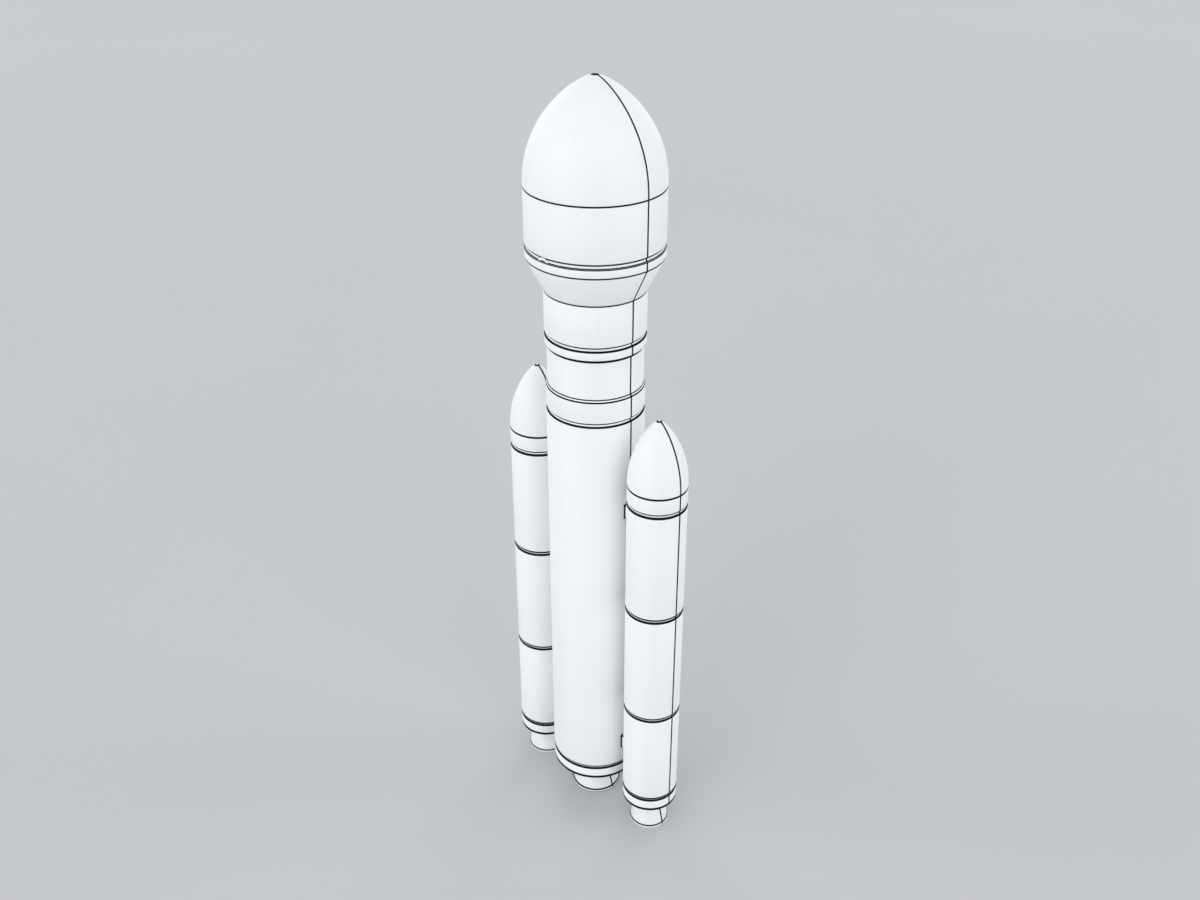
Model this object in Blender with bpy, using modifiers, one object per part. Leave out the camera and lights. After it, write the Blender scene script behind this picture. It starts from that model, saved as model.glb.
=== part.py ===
# Space rocket with two side boosters, a steerable core nozzle and a fairing that opens in two halves.
# Metres, +Z up. The origin is on the floor below the core's axis, and the boosters stand at +X and -X.

import math

import bmesh
import bpy
from mathutils import Matrix, Vector

# Gaps
SEAT = 0.0003               # between pieces that touch
SWING = 0.006               # between pieces that move past each other

# Radii of the stack
CORE_R = 2.0
UPPER_STAGE_R = 1.941
ADAPTER_R = 2.026
FAIRING_R = 2.707
GROOVE_DEPTH = 0.05         # how far a joint neck lies in from the skin

# Heights of the core stack, from the floor
CORE_BASE_Z = 1.80
CORE_NECK_D_Z = (2.384, 2.55)
CORE_NECK_C_Z = (20.562, 20.72)
STAGE_CHAMFER_Z = (21.664, 21.775)  # the slope from the core's radius in to the upper stage's
STAGE_STEP_Z = 23.47
CORE_NECK_B_Z = (23.848, 24.01)
CONE_Z = (25.74, 27.104)
CORE_NECK_A_Z = (27.46, 27.63)
NOSE_BASE_Z = 29.812
TIP_Z = 33.81

# Engine bay and steered nozzle
BAY_R = 1.86
BAY_TOP_Z = 3.50
SHIELD_HOLE_R = 0.86
SHIELD_THICK = 0.06
GIMBAL_Z = 3.15
CORE_EXIT_Z = 0.05
CORE_EXIT_R = 1.128
CORE_THROAT_Z = 2.40
CORE_THROAT_R = 0.27
CORE_BELL_CURVE = 1.15      # 1 makes a straight cone, and more turns the exit upright
ENGINE_R = 0.34
ENGINE_TOP_Z = 2.85
YOKE_PLATE_R = 0.56
YOKE_PLATE_THICK = 0.06
BRACKET_FLARE = 0.20        # how much wider the bracket's plate is at the bay's ceiling
PLATE_OVERLAP = 0.03        # how far a lug reaches into its plate
NOZZLE_WALL = 0.035
LIP_HEIGHT = 0.14
LIP_PROUD = 0.015

# Gimbal ring, its pins and the lugs that hold them
RING_R = (0.26, 0.36)
RING_HALF_HEIGHT = 0.07
PIN_R = 0.035
PIN_PLAY = 0.0005
LUG_SPAN = (0.41, 0.49)
LUG_HALF_WIDTH = 0.09
BORE_REACH = 0.70           # a bore's cutter passes both lugs by this distance from the centre

# Boosters
BOOSTER_X = 3.5
BOOSTER_R = 1.234
BOOSTER_GROOVE_DEPTH = 0.035
BOOSTER_BASE_Z = 1.468
BOOSTER_NECK_D_Z = (2.072, 2.22)
BOOSTER_NECK_C_Z = (6.814, 6.96)
BOOSTER_NECK_B_Z = (12.226, 12.375)
BOOSTER_NECK_A_Z = (17.414, 17.57)
BOOSTER_NOSE_Z = 18.288
BOOSTER_TIP_Z = 21.18
BOOSTER_EXIT_R = 0.88
BOOSTER_THROAT_R = 0.25
BOOSTER_BELL_CURVE = 1.35
SOCKET_R = 0.58
SOCKET_TOP_Z = 2.0

# Fittings between core and boosters: half width along Y, lowest and highest Z
FORWARD_FITTING = (0.30, 16.13, 16.73)
AFT_FITTING = (0.33, 3.45, 4.12)
FITTING_OVERLAP = 0.10      # how far a block starts inside each skin, before the skins trim it

# Noses: (power, root) of the curve, then (radius, height) of the cap on the tip
FAIRING_CURVE = (2.158, 0.749)
BOOSTER_NOSE_CURVE = (2.09, 0.83)
FAIRING_CAP = (0.10, 0.025)
BOOSTER_CAP = (0.08, 0.020)

# Fairing, with its hinges
FAIRING_WALL = 0.06
FAIRING_TIP_WALL = 0.14     # how far the hollow ends below the tip
HINGE_Y = 2.684
HINGE_Z = 27.545
HINGE_PIN_R = 0.011
KNUCKLE_R = 0.020
LEAF_HALF_THICK = 0.018
LEAF_HALF_WIDTH = 0.12
EAR_SPAN = (0.126, 0.254)
EAR_HALF_HEIGHT = 0.045
EAR_DEPTH = 0.10            # how far an ear reaches in from the hinge's axis, before the ring trims it
HINGE_PIN_HALF = 0.25
PAYLOAD_CONE_R = (1.40, 0.87)
PAYLOAD_CONE_TOP_Z = 28.70
PAYLOAD_RING_R = (0.80, 0.87)
PAYLOAD_RING_TOP_Z = 28.85

# Number of flat sides on turned shapes, and of steps along their curves
CORE_SIDES = 48
BOOSTER_SIDES = 32
NOZZLE_SIDES = 32
PIN_SIDES = 24
NOSE_POINTS = 12
HOLLOW_POINTS = 9
BOOSTER_NOSE_POINTS = 9
CORE_BELL_RINGS = 7
BOOSTER_BELL_RINGS = 6

WHITE = (0.86, 0.87, 0.88)
NOZZLE_WHITE = (0.80, 0.81, 0.83)
METAL_GREY = (0.55, 0.56, 0.58)


def clear_scene():
    for obj in list(bpy.data.objects):
        bpy.data.objects.remove(obj, do_unlink=True)
    for name in ("space_rocket", "cutters"):
        collection = bpy.data.collections.new(name)
        bpy.context.scene.collection.children.link(collection)
    bpy.data.collections["cutters"].hide_render = True


def material_for(name, colour, roughness, metallic):
    material = bpy.data.materials.new(name)
    material.use_nodes = True
    shader = material.node_tree.nodes["Principled BSDF"]
    shader.inputs["Base Color"].default_value = (*colour, 1.0)
    shader.inputs["Roughness"].default_value = roughness
    shader.inputs["Metallic"].default_value = metallic
    return material


def place(name, mesh, colour=WHITE, roughness=0.45, metallic=0.0, cutter=False):
    """Makes the object that holds this mesh, with a material of its own unless it only cuts others."""
    obj = bpy.data.objects.new(name, mesh)
    if cutter:
        bpy.data.collections["cutters"].objects.link(obj)
        obj.hide_render = True
        obj.display_type = "WIRE"
        return obj
    bpy.data.collections["space_rocket"].objects.link(obj)
    mesh.materials.append(material_for(name, colour, roughness, metallic))
    return obj


def turned(name, profile, sides, closed=False, centre_x=0.0, **look):
    """Turns (radius, z) points about a vertical axis. A closed profile is a ring's cross-section."""
    work = bmesh.new()
    points = [work.verts.new((radius, 0.0, z)) for radius, z in profile]
    ends = points[1:] + points[:1] if closed else points[1:]
    for start, end in zip(points, ends):
        work.edges.new((start, end))
    mesh = bpy.data.meshes.new(name)
    work.to_mesh(mesh)
    work.free()
    obj = place(name, mesh, **look)
    obj.location.x = centre_x
    screw = obj.modifiers.new("Turn", "SCREW")
    screw.axis = "Z"
    screw.angle = math.tau
    screw.steps = sides
    screw.render_steps = sides
    screw.use_merge_vertices = True
    screw.merge_threshold = 0.00005
    screw.use_smooth_shade = True
    return obj


def placed_mesh(name, work, cutter, look):
    mesh = bpy.data.meshes.new(name)
    work.to_mesh(mesh)
    work.free()
    return place(name, mesh, cutter=cutter, **look)


def box(name, low, high, cutter=False, **look):
    """A box between its lowest and highest corner."""
    low, high = Vector(low), Vector(high)
    work = bmesh.new()
    matrix = Matrix.Translation((low + high) / 2) @ Matrix.Diagonal((*(high - low), 1.0))
    bmesh.ops.create_cube(work, size=1.0, matrix=matrix)
    return placed_mesh(name, work, cutter, look)


def rod(name, start, end, radius, cutter=False, **look):
    """A round rod between two points."""
    start, end = Vector(start), Vector(end)
    work = bmesh.new()
    turn = (end - start).to_track_quat("Z", "Y").to_matrix().to_4x4()
    bmesh.ops.create_cone(
        work, cap_ends=True, segments=PIN_SIDES, radius1=radius, radius2=radius,
        depth=(end - start).length, matrix=Matrix.Translation((start + end) / 2) @ turn,
    )
    return placed_mesh(name, work, cutter, look)


def boolean(obj, other, operation):
    modifier = obj.modifiers.new(operation.capitalize(), "BOOLEAN")
    modifier.operation = operation
    modifier.solver = "EXACT"
    modifier.object = other


def nose_profile(base_r, tip_r, base_z, tip_z, curve, count):
    """Points of a blunt-tipped nose from its flat tip down to its base."""
    power, root = curve
    points = []
    for i in range(count + 1):
        share = math.cos(math.pi / 2 * i / count)
        radius = tip_r + (base_r - tip_r) * (1 - share**power) ** root
        points.append((radius, base_z + (tip_z - base_z) * share))
    return points


def bell_radius(z, exit_z, exit_r, throat_z, throat_r, curve):
    share = (z - exit_z) / (throat_z - exit_z)
    return exit_r - (exit_r - throat_r) * share**curve


def bell(name, exit_z, exit_r, throat_z, throat_r, curve, rings, centre_x=0.0):
    """A nozzle bell with an even wall, a proud lip at its exit and a flat top at the throat."""
    heights = [throat_z + (exit_z + LIP_HEIGHT - throat_z) * i / rings for i in range(rings + 1)]
    skin_r = exit_r - LIP_PROUD
    outer = [(bell_radius(z, exit_z, skin_r, throat_z, throat_r, curve), z) for z in heights]
    inner = [(radius - NOZZLE_WALL, z) for radius, z in reversed(outer)]
    lip = [(exit_r, exit_z + LIP_HEIGHT), (exit_r, exit_z), (skin_r - NOZZLE_WALL, exit_z)]
    return turned(
        name, outer + lip + inner, NOZZLE_SIDES, closed=True, centre_x=centre_x,
        colour=NOZZLE_WHITE, roughness=0.5,
    )


def necked(name, radius, bottom_z, top_z, neck_z, depth, sides, centre_x=0.0):
    """A solid drum whose top end steps in to the recessed neck of the joint above it."""
    profile = [
        (0.0, neck_z - SEAT), (radius - depth, neck_z - SEAT), (radius - depth, top_z),
        (radius, top_z), (radius, bottom_z), (0.0, bottom_z),
    ]
    return turned(name, profile, sides, centre_x=centre_x)


def core_base():
    """Base band, heat shield and the barrel whose foot is the engine bay."""
    turned("core_base_shield", [
        (SHIELD_HOLE_R, CORE_BASE_Z + SHIELD_THICK), (BAY_R - SEAT, CORE_BASE_Z + SHIELD_THICK),
        (BAY_R - SEAT, CORE_BASE_Z), (SHIELD_HOLE_R, CORE_BASE_Z),
    ], CORE_SIDES, closed=True, colour=METAL_GREY)
    low, high = CORE_NECK_D_Z
    neck_r = CORE_R - GROOVE_DEPTH
    turned("core_base_band", [
        (BAY_R, high - SEAT), (neck_r, high - SEAT), (neck_r, low),
        (CORE_R, low), (CORE_R, CORE_BASE_Z), (BAY_R, CORE_BASE_Z),
    ], CORE_SIDES, closed=True)
    low_c = CORE_NECK_C_Z[0]
    turned("core_barrel", [
        (0.0, CORE_NECK_C_Z[1] - SEAT), (neck_r, CORE_NECK_C_Z[1] - SEAT), (neck_r, low_c),
        (CORE_R, low_c), (CORE_R, high), (BAY_R, high), (BAY_R, BAY_TOP_Z), (0.0, BAY_TOP_Z),
    ], CORE_SIDES)


def core_stages():
    """Everything fixed between the barrel and the fairing."""
    chamfer_low, chamfer_high = STAGE_CHAMFER_Z
    turned("core_forward_skirt", [
        (0.0, chamfer_high - SEAT), (UPPER_STAGE_R, chamfer_high - SEAT), (CORE_R, chamfer_low),
        (CORE_R, CORE_NECK_C_Z[1]), (0.0, CORE_NECK_C_Z[1]),
    ], CORE_SIDES)
    turned("upper_stage", [
        (0.0, STAGE_STEP_Z - SEAT), (UPPER_STAGE_R, STAGE_STEP_Z - SEAT),
        (UPPER_STAGE_R, chamfer_high), (0.0, chamfer_high),
    ], CORE_SIDES)
    necked("upper_stage_band", ADAPTER_R, STAGE_STEP_Z, CORE_NECK_B_Z[0], CORE_NECK_B_Z[1],
           GROOVE_DEPTH, CORE_SIDES)
    turned("adapter_cylinder", [
        (0.0, CONE_Z[0] - SEAT), (ADAPTER_R, CONE_Z[0] - SEAT),
        (ADAPTER_R, CORE_NECK_B_Z[1]), (0.0, CORE_NECK_B_Z[1]),
    ], CORE_SIDES)
    turned("boat_tail_cone", [
        (0.0, CONE_Z[1] - SEAT), (FAIRING_R, CONE_Z[1] - SEAT),
        (ADAPTER_R, CONE_Z[0]), (0.0, CONE_Z[0]),
    ], CORE_SIDES)
    turned("fairing_base_band", [
        (0.0, CORE_NECK_A_Z[0] - SEAT), (FAIRING_R, CORE_NECK_A_Z[0] - SEAT),
        (FAIRING_R, CONE_Z[1]), (0.0, CONE_Z[1]),
    ], CORE_SIDES)
    ring_r = FAIRING_R - GROOVE_DEPTH
    turned("fairing_joint_ring", [
        (0.0, CORE_NECK_A_Z[1]), (ring_r, CORE_NECK_A_Z[1]),
        (ring_r, CORE_NECK_A_Z[0]), (0.0, CORE_NECK_A_Z[0]),
    ], CORE_SIDES)
    turned("payload_adapter", [
        (0.0, PAYLOAD_CONE_TOP_Z - SEAT), (PAYLOAD_CONE_R[1], PAYLOAD_CONE_TOP_Z - SEAT),
        (PAYLOAD_CONE_R[0], CORE_NECK_A_Z[1] + SEAT), (0.0, CORE_NECK_A_Z[1] + SEAT),
    ], NOZZLE_SIDES, colour=METAL_GREY)
    inner, outer = PAYLOAD_RING_R
    turned("payload_ring", [
        (inner, PAYLOAD_RING_TOP_Z), (outer, PAYLOAD_RING_TOP_Z),
        (outer, PAYLOAD_CONE_TOP_Z), (inner, PAYLOAD_CONE_TOP_Z),
    ], NOZZLE_SIDES, closed=True, colour=METAL_GREY, metallic=0.6)


def axis_empty(name, location):
    empty = bpy.data.objects.new(name, None)
    bpy.data.collections["space_rocket"].objects.link(empty)
    empty.location = location
    return empty


def hang_on(obj, empty):
    """Parents the piece to its joint's empty and leaves it where it is."""
    obj.parent = empty
    obj.matrix_parent_inverse = Matrix.Translation(-empty.location)


def fairing_half(name, side):
    """Half of the hollow nose and its cylinder. Side is -1 for the front half and 1 for the rear one."""
    cap_r, cap_height = FAIRING_CAP
    outer = nose_profile(FAIRING_R, cap_r, NOSE_BASE_Z, TIP_Z - cap_height, FAIRING_CURVE, NOSE_POINTS)
    inner_r, bottom_z = FAIRING_R - FAIRING_WALL, CORE_NECK_A_Z[1] + SWING
    inner = nose_profile(inner_r, 0.0, NOSE_BASE_Z, TIP_Z - FAIRING_TIP_WALL, FAIRING_CURVE, HOLLOW_POINTS)
    cap = [(0.0, TIP_Z), (cap_r, TIP_Z)]
    profile = cap + outer + [(FAIRING_R, bottom_z), (inner_r, bottom_z)] + inner[::-1]
    half = turned(name, profile, CORE_SIDES)
    reach = 2 * FAIRING_R
    edges = sorted((-side * reach, side * SWING / 2))
    cutter = box(name + "_cutter", (-reach, edges[0], NOSE_BASE_Z - reach), (reach, edges[1], TIP_Z + reach),
                 cutter=True)
    boolean(half, cutter, "DIFFERENCE")
    return half


def fairing_hinge(place_name, side):
    """Fixed ears with their pin, and the leaf below the half's edge that turns on it."""
    y, z = side * HINGE_Y, HINGE_Z
    near, far = EAR_SPAN
    ring_r, low_z, high_z = FAIRING_R - GROOVE_DEPTH + SEAT, CONE_Z[1], NOSE_BASE_Z
    ring = turned(place_name + "_ring_cutter", [
        (0.0, high_z), (ring_r, high_z), (ring_r, low_z), (0.0, low_z),
    ], CORE_SIDES, cutter=True)
    pin_ends = (-HINGE_PIN_HALF, y, z), (HINGE_PIN_HALF, y, z)
    bracket = rod("fairing_hinge_bracket_" + place_name, *pin_ends, HINGE_PIN_R, colour=METAL_GREY)
    ear_ys = sorted((side * (HINGE_Y - EAR_DEPTH), side * (HINGE_Y + KNUCKLE_R)))
    for end, x_low, x_high in (("left", -far, -near), ("right", near, far)):
        low, high = (x_low, ear_ys[0], z - EAR_HALF_HEIGHT), (x_high, ear_ys[1], z + EAR_HALF_HEIGHT)
        boolean(bracket, box(f"{place_name}_{end}_ear", low, high, cutter=True), "UNION")
    boolean(bracket, ring, "DIFFERENCE")

    leaf_ends = (-LEAF_HALF_WIDTH, y, z), (LEAF_HALF_WIDTH, y, z)
    leaf = rod("fairing_hinge_leaf_" + place_name, *leaf_ends, KNUCKLE_R, colour=METAL_GREY)
    plate_ys = sorted((y - LEAF_HALF_THICK, y + LEAF_HALF_THICK))
    half_bottom_z = CORE_NECK_A_Z[1] + SWING
    plate = box(place_name + "_plate", (-LEAF_HALF_WIDTH, plate_ys[0], z),
                (LEAF_HALF_WIDTH, plate_ys[1], half_bottom_z - SEAT), cutter=True)
    boolean(leaf, plate, "UNION")
    boolean(leaf, rod(place_name + "_bore", *pin_ends, HINGE_PIN_R + PIN_PLAY, cutter=True), "DIFFERENCE")
    return leaf


def fairing():
    for place_name, side in (("front", -1), ("rear", 1)):
        axis = axis_empty(f"fairing_{place_name}_hinge_axis", (0.0, side * HINGE_Y, HINGE_Z))
        hang_on(fairing_half(f"fairing_{place_name}_half", side), axis)
        hang_on(fairing_hinge(place_name, side), axis)


def lug_pair(name, direction, low_z, high_z):
    """Two lugs that face each other across the gimbal along a direction, X or Y."""
    near, far = LUG_SPAN
    pair = []
    for sign in (-1, 1):
        ends = sorted((sign * near, sign * far))
        if direction == "X":
            low, high = (ends[0], -LUG_HALF_WIDTH, low_z), (ends[1], LUG_HALF_WIDTH, high_z)
        else:
            low, high = (-LUG_HALF_WIDTH, ends[0], low_z), (LUG_HALF_WIDTH, ends[1], high_z)
        pair.append(box(f"{name}_lug_{direction}_{sign}", low, high, cutter=True))
    return pair


def bore_through(name, direction):
    """A cutter for the pin holes along a direction, X or Y, through the gimbal's centre."""
    x, y = (BORE_REACH, 0.0) if direction == "X" else (0.0, BORE_REACH)
    return rod(name, (-x, -y, GIMBAL_Z), (x, y, GIMBAL_Z), PIN_R + PIN_PLAY, cutter=True)


def steered_nozzle():
    """Bracket on the bay's ceiling, gimbal ring with four pins, engine block with its yoke, and the bell."""
    centre = axis_empty("gimbal_centre", (0.0, 0.0, GIMBAL_Z))
    plate_low_z = BAY_TOP_Z - YOKE_PLATE_THICK
    bracket = turned("gimbal_bracket", [
        (0.0, BAY_TOP_Z - SEAT), (YOKE_PLATE_R + BRACKET_FLARE, BAY_TOP_Z - SEAT),
        (YOKE_PLATE_R, plate_low_z), (0.0, plate_low_z),
    ], NOZZLE_SIDES, colour=METAL_GREY)
    for lug in lug_pair("bracket", "X", GIMBAL_Z - LUG_HALF_WIDTH, plate_low_z + PLATE_OVERLAP):
        boolean(bracket, lug, "UNION")
    boolean(bracket, bore_through("bracket_bore", "X"), "DIFFERENCE")

    inner, outer = RING_R
    ring = turned("gimbal_ring", [
        (inner, GIMBAL_Z + RING_HALF_HEIGHT), (outer, GIMBAL_Z + RING_HALF_HEIGHT),
        (outer, GIMBAL_Z - RING_HALF_HEIGHT), (inner, GIMBAL_Z - RING_HALF_HEIGHT),
    ], NOZZLE_SIDES, closed=True, colour=METAL_GREY)
    pin_start, pin_end = (inner + outer) / 2, LUG_SPAN[1]
    for sign in (-1, 1):
        for x, y in ((sign, 0), (0, sign)):
            start, end = (x * pin_start, y * pin_start, GIMBAL_Z), (x * pin_end, y * pin_end, GIMBAL_Z)
            boolean(ring, rod(f"gimbal_pin_{x}_{y}", start, end, PIN_R, cutter=True), "UNION")
    hang_on(ring, centre)

    yoke_low_z = ENGINE_TOP_Z - YOKE_PLATE_THICK
    engine = turned("core_engine", [
        (0.0, ENGINE_TOP_Z), (YOKE_PLATE_R, ENGINE_TOP_Z), (YOKE_PLATE_R, yoke_low_z),
        (ENGINE_R, yoke_low_z - PLATE_OVERLAP), (ENGINE_R, CORE_THROAT_Z + SEAT), (0.0, CORE_THROAT_Z + SEAT),
    ], NOZZLE_SIDES, colour=METAL_GREY, metallic=0.6)
    for lug in lug_pair("engine", "Y", ENGINE_TOP_Z - PLATE_OVERLAP, GIMBAL_Z + LUG_HALF_WIDTH):
        boolean(engine, lug, "UNION")
    boolean(engine, bore_through("engine_bore", "Y"), "DIFFERENCE")
    hang_on(engine, centre)
    throat = CORE_THROAT_Z, CORE_THROAT_R
    nozzle = bell("core_nozzle", CORE_EXIT_Z, CORE_EXIT_R, *throat, CORE_BELL_CURVE, CORE_BELL_RINGS)
    hang_on(nozzle, centre)


def booster(place_name, side):
    """One solid booster: nozzle, base band, three cases, forward band and nose."""
    x = side * BOOSTER_X
    throat = SOCKET_TOP_Z - SEAT, BOOSTER_THROAT_R
    bell(
        f"booster_{place_name}_nozzle", 0.0, BOOSTER_EXIT_R, *throat,
        BOOSTER_BELL_CURVE, BOOSTER_BELL_RINGS, x,
    )
    low, high = BOOSTER_NECK_D_Z
    neck_r = BOOSTER_R - BOOSTER_GROOVE_DEPTH
    turned(f"booster_{place_name}_base_band", [
        (0.0, high - SEAT), (neck_r, high - SEAT), (neck_r, low),
        (BOOSTER_R, low), (BOOSTER_R, BOOSTER_BASE_Z),
        (SOCKET_R, BOOSTER_BASE_Z), (SOCKET_R, SOCKET_TOP_Z), (0.0, SOCKET_TOP_Z),
    ], BOOSTER_SIDES, centre_x=x)
    cases = (
        ("aft_case", BOOSTER_NECK_D_Z, BOOSTER_NECK_C_Z),
        ("centre_case", BOOSTER_NECK_C_Z, BOOSTER_NECK_B_Z),
        ("forward_case", BOOSTER_NECK_B_Z, BOOSTER_NECK_A_Z),
    )
    for case_name, below, above in cases:
        necked(f"booster_{place_name}_{case_name}", BOOSTER_R, below[1], above[0], above[1],
               BOOSTER_GROOVE_DEPTH, BOOSTER_SIDES, x)
    turned(f"booster_{place_name}_forward_band", [
        (0.0, BOOSTER_NOSE_Z - SEAT), (BOOSTER_R, BOOSTER_NOSE_Z - SEAT),
        (BOOSTER_R, BOOSTER_NECK_A_Z[1]), (0.0, BOOSTER_NECK_A_Z[1]),
    ], BOOSTER_SIDES, centre_x=x)
    cap_r, cap_height = BOOSTER_CAP
    cap = [(0.0, BOOSTER_TIP_Z), (cap_r, BOOSTER_TIP_Z)]
    nose = nose_profile(
        BOOSTER_R, cap_r, BOOSTER_NOSE_Z, BOOSTER_TIP_Z - cap_height, BOOSTER_NOSE_CURVE, BOOSTER_NOSE_POINTS,
    )
    turned(f"booster_{place_name}_nose", cap + nose + [(0.0, BOOSTER_NOSE_Z)], BOOSTER_SIDES, centre_x=x)


def skin_cutter(name, radius, sides, centre_x):
    """A drum that leaves the seat gap to a skin with the same number of flat sides."""
    wider = radius + SEAT / math.cos(math.pi / sides)
    top_z, low_z = BOOSTER_NOSE_Z, BOOSTER_BASE_Z
    return turned(name, [(0.0, top_z), (wider, top_z), (wider, low_z), (0.0, low_z)],
                  sides, centre_x=centre_x, cutter=True)


def fittings(place_name, side):
    """The forward and aft blocks that fill the gap between the core's skin and a booster's."""
    core_cutter = skin_cutter(f"{place_name}_core_skin", CORE_R, CORE_SIDES, 0.0)
    booster_cutter = skin_cutter(f"{place_name}_booster_skin", BOOSTER_R, BOOSTER_SIDES, side * BOOSTER_X)
    xs = sorted((side * (CORE_R - FITTING_OVERLAP), side * (BOOSTER_X - BOOSTER_R + FITTING_OVERLAP)))
    for level, (half_width, low_z, high_z) in (("forward", FORWARD_FITTING), ("aft", AFT_FITTING)):
        low, high = (xs[0], -half_width, low_z), (xs[1], half_width, high_z)
        block = box(f"booster_{place_name}_{level}_fitting", low, high)
        boolean(block, core_cutter, "DIFFERENCE")
        boolean(block, booster_cutter, "DIFFERENCE")


def main():
    clear_scene()
    core_base()
    core_stages()
    fairing()
    steered_nozzle()
    for place_name, side in (("right", 1), ("left", -1)):
        booster(place_name, side)
        fittings(place_name, side)


main()
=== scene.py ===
"""Finished surfaces of a space rocket with two side boosters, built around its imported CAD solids.

Metres, +Z up, in the frame of the solids. The boosters stand at +X and -X, and each long seam faces +X.
"""

import math

import bmesh
import bpy
from bpy.props import FloatProperty, FloatVectorProperty, IntProperty, PointerProperty
from mathutils import Matrix, Vector


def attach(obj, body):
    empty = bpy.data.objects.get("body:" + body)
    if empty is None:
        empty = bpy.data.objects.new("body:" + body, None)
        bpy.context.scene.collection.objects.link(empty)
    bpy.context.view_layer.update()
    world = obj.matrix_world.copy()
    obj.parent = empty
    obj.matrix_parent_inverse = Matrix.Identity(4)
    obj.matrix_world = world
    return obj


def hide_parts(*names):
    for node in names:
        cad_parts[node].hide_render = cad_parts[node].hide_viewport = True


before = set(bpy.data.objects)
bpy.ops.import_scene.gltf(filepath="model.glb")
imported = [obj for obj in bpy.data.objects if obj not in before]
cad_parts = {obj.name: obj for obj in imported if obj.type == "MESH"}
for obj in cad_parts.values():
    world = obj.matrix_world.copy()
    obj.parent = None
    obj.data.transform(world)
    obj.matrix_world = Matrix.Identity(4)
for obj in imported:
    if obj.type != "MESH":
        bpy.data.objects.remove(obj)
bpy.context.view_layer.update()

bl_info = {
    "name": "Space Rocket Surfaces",
    "version": (1, 0, 0),
    "blender": (4, 5, 0),
    "location": "3D View > Sidebar > Rocket",
    "description": "Builds the painted skins, nozzles, fairing lining and fittings of a space rocket",
    "category": "Mesh",
}

# A turned face's finish, as its place in the piece's list of materials
# The sealant finish also marks the dark bands of painted shade
PAINT, SEALANT_AND_SHADE, NECK, HIDDEN = range(4)
COATING, THROAT_DARK = 0, 2

TINY = 1e-5
ROUND = 0.012                       # rounding of a small edge, in metres
SMALL_SIDES, PIPE_SIDES = 96, 64    # flat sides of boosters and nozzles, and of the engine's pipes

# Noses: power and root of the curve, how far it has drawn in at the line above its foot, and its steps
FAIRING_NOSE = ((2.158, 0.749), 0.0008, 40)
BOOSTER_NOSE = ((2.09, 0.83), 0.0005, 36)


# Sizes and colours that a user would change

def number(name, description, default, **settings):
    """A number, or a row of numbers where the default is one."""
    kind = FloatProperty
    if isinstance(default, tuple):
        kind, settings["size"] = FloatVectorProperty, len(default)
    return kind(name=name, description=description, default=default, **settings)


def length(name, description, default):
    return number(name, description, default, unit="LENGTH", precision=4)


def angle(name, description, degrees):
    return number(name, description, math.radians(degrees), subtype="ANGLE")


def tint(name, description, default):
    return number(name, description, default, subtype="COLOR", min=0.0, max=1.0)


def count(name, description, default):
    return IntProperty(name=name, description=description, default=default, min=3)


class RocketStackSizes(bpy.types.PropertyGroup):
    """Radii and heights of the core stack"""

    core_radius: length("Core radius", "Radius of the core's skin", 2.0)
    upper_radius: length("Upper stage radius", "Radius of the upper stage's skin", 1.941)
    adapter_radius: length("Adapter radius", "Radius of the adapter under the cone", 2.026)
    groove: length("Groove depth", "How far a joint's neck lies in from the skin", 0.05)
    base: length("Base", "Height of the base band's lower edge", 1.80)
    neck_base: length("Base neck", "Heights of the neck above the base band", (2.384, 2.55))
    neck_middle: length("Forward neck", "Heights of the neck under the forward skirt", (20.562, 20.72))
    slope: length("Stage slope", "Heights of the slope up to the upper stage", (21.664, 21.775))
    step: length("Stage step", "Height where the adapter steps out", 23.47)
    neck_adapter: length("Adapter neck", "Heights of the neck under the adapter", (23.848, 24.01))
    bay: length("Engine bay", "Inner radius of the engine bay, and its ceiling's height", (1.86, 3.50))
    shield: length("Base shield", "Radius of the base shield's hole, and its thickness", (0.86, 0.06))
    sides: count("Sides", "Flat sides of a large turned skin", 128)


class RocketFairingSizes(bpy.types.PropertyGroup):
    """Radii and heights of the fairing, its cone and what it covers"""

    radius: length("Fairing radius", "Radius of the fairing's cylinder", 2.707)
    cone: length("Cone", "Heights of the cone under the fairing", (25.74, 27.104))
    neck: length("Split neck", "Heights of the neck that the fairing opens above", (27.46, 27.63))
    nose_base: length("Nose base", "Height where the cylinder turns into the nose", 29.812)
    tip: length("Tip", "Height of the fairing's tip", 33.81)
    cap: length("Tip cap", "Radius and height of the cap on the tip", (0.10, 0.025))
    wall: length("Wall", "Thickness of the wall, and of the solid tip", (0.06, 0.14))
    clearance: length("Clearance", "Gap under the halves and between them", 0.006)
    adapter: length("Payload cone", "Radii of the payload cone's foot and top", (1.40, 0.87))
    ring: length("Clamp ring", "Inner and outer radius of the clamp ring", (0.80, 0.87))
    ring_heights: length("Clamp ring heights", "Heights of the clamp ring's foot and top", (28.70, 28.85))
    flange: length("Flange", "How far the payload cone's flanges stand out, and their height", (0.035, 0.045))
    stringers: count("Stringers", "Ribs on the payload cone", 24)
    tile: length("Tile", "Thickness of an acoustic tile, and the gap between two", (0.025, 0.014))
    tile_margin: length("Tile margin", "Distance from the tiles to the split and to the foot", 0.085)
    tile_top: length("Tile top", "Inner radius of the nose where the tiles end", 0.80)
    tile_columns: count("Tile columns", "Tiles across one half", 24)
    tile_rows: count("Tile rows", "Rows of tiles below the nose", 3)


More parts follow.
